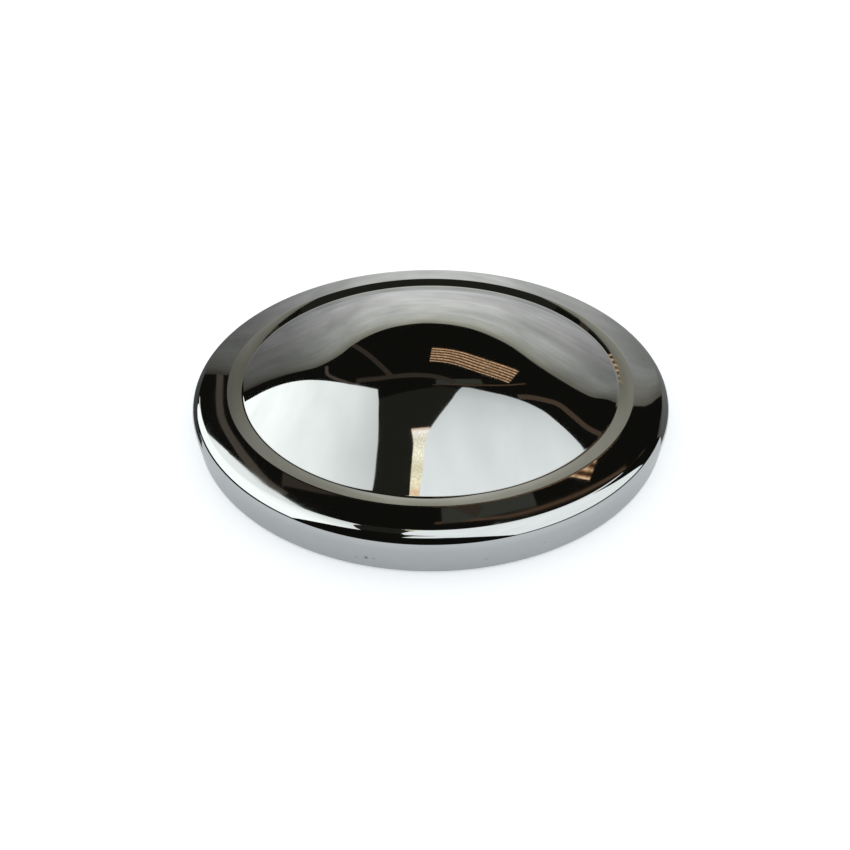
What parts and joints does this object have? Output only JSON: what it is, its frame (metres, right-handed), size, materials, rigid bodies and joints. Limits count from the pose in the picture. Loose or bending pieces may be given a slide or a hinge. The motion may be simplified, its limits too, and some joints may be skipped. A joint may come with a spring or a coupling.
{
  "type": "hubcap",
  "caption": "Round chromed wheel cover: a shallow dome inside a flat rim ring, with a rounded shoulder and a short skirt whose hem turns in to a lip that grips the wheel.",
  "frame": {"origin": "centre of the cap on the plane of its lower edge", "axes": "+Z along the wheel's axis, towards the outside of the car; every direction across it is alike"},
  "size_m": [0.254, 0.254, 0.032],
  "materials": {
    "chrome": "polished chrome plate"
  },
  "bodies": {
    "root": {"cap_shell": "chrome"}
  },
  "joints": []
}
